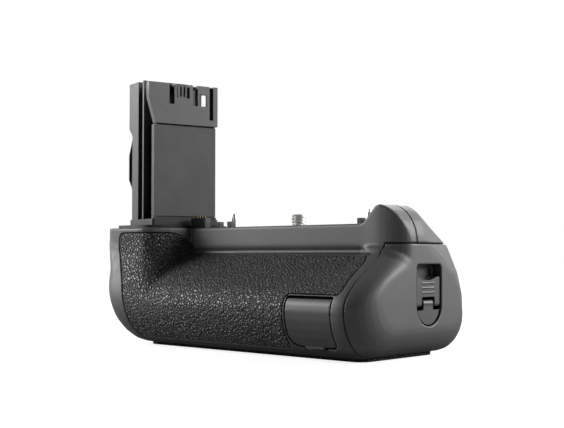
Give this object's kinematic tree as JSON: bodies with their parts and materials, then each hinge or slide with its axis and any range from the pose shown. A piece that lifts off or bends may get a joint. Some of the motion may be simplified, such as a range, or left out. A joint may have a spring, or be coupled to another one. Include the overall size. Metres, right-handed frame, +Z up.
{
  "type": "camera battery grip",
  "caption": "Vertical battery grip for a camera: moulded rubber-skinned body with a plug-in stem, clamp screw, slide-out battery magazine with a flip lever, and a second set of controls.",
  "frame": {"origin": "mouth of the tripod socket in the base, under the clamp screw's axis", "axes": "+X to the magazine's end cap, -Y to the front of the grip, +Z up along the clamp screw into the camera"},
  "size_m": [0.145, 0.0702, 0.1137],
  "materials": {
    "shell": "fine sprayed texture",
    "rubber": "leather grain",
    "deck": "fine texture",
    "stem": "fine texture",
    "panel": "satin sheet",
    "chassis": "plain",
    "tray": "plain",
    "control": "satin",
    "catch": "satin",
    "steel": "bright",
    "contact": "plated",
    "board": "lacquered"
  },
  "bodies": {
    "grip": {"front_shell": "shell", "rear_shell": "shell", "release_ring": "shell", "grip_rubber": "rubber", "thumb_rubber": "rubber", "base_pad": "rubber", "deck_plate": "deck", "deck_lugs": "deck", "contact_block": "deck", "stem_plinth": "deck", "stem_column": "stem", "stem_head": "stem", "stem_clip": "stem", "stem_panel": "panel", "magazine_bay": "chassis", "wheel_bracket": "chassis", "dial_bracket": "chassis", "release_switch": "chassis", "tripod_socket": "steel", "base_screws": "steel", "deck_screws": "steel", "clamp_bush": "steel", "cord_cover_pin": "steel", "dial_axle": "steel", "locating_pins": "steel", "bay_contacts": "contact", "stem_contacts": "contact", "control_board": "board", "button_board": "board", "button_keys": "board"},
    "magazine": {"magazine_cap": "shell", "magazine_tray": "tray", "tray_contacts": "contact", "lock_block": "control", "lever_pin": "steel"},
    "lever": {"lock_lever": "control"},
    "catch_1": {"battery_catch_1": "catch"},
    "catch_2": {"battery_catch_2": "catch"},
    "clamp": {"thumbwheel": "control", "clamp_screw": "steel"},
    "cover": {"cord_cover": "control"},
    "release": {"release_button": "control"},
    "dial": {"command_dial": "control"},
    "focus": {"focus_button": "control"},
    "lock": {"lock_button": "control"},
    "start": {"start_button": "control"},
    "power": {"power_switch": "control"},
    "signal": {"signal_pins": "steel"}
  },
  "joints": [
    {"name": "magazine_slide", "type": "slide", "parent": "grip", "child": "magazine", "axis": [1, 0, 0], "range_m": [0, 0.12]},
    {"name": "lever_flip", "type": "hinge", "parent": "magazine", "child": "lever", "pos_m": [0.0661, -0.0046, 0.02025], "axis": [0, 1, 0], "range_deg": [0, 85]},
    {"name": "catch_1_press", "type": "slide", "parent": "magazine", "child": "catch_1", "axis": [0, 1, 0], "range_m": [0, 0.0008], "stiffness_N_per_m": 600},
    {"name": "catch_2_press", "type": "slide", "parent": "magazine", "child": "catch_2", "axis": [0, 1, 0], "range_m": [0, 0.0008], "stiffness_N_per_m": 600},
    {"name": "clamp_turn", "type": "hinge", "parent": "grip", "child": "clamp", "pos_m": [0, 0, 0.0443], "axis": [0, 0, 1], "continuous": true},
    {"name": "cover_swing", "type": "hinge", "parent": "grip", "child": "cover", "pos_m": [0.044, -0.04273, 0.02155], "axis": [-1, 0, 0], "range_deg": [0, 75]},
    {"name": "release_press", "type": "slide", "parent": "grip", "child": "release", "axis": [0.7863, 0, 0.6178], "range_m": [0, 0.0008], "stiffness_N_per_m": 600},
    {"name": "dial_turn", "type": "hinge", "parent": "grip", "child": "dial", "pos_m": [-0.06847, 0, 0.01607], "axis": [0, 1, 0], "continuous": true},
    {"name": "focus_press", "type": "slide", "parent": "grip", "child": "focus", "axis": [0, -1, 0], "range_m": [0, 0.0006], "stiffness_N_per_m": 600},
    {"name": "lock_press", "type": "slide", "parent": "grip", "child": "lock", "axis": [0, -1, 0], "range_m": [0, 0.0006], "stiffness_N_per_m": 600},
    {"name": "start_press", "type": "slide", "parent": "grip", "child": "start", "axis": [0, -1, 0], "range_m": [0, 0.0006], "stiffness_N_per_m": 600},
    {"name": "power_slide", "type": "slide", "parent": "grip", "child": "power", "axis": [1, 0, 0], "range_m": [0, 0.003]},
    {"name": "signal_press", "type": "slide", "parent": "grip", "child": "signal", "axis": [0, 0, -1], "range_m": [0, 0.0008], "stiffness_N_per_m": 300}
  ]
}
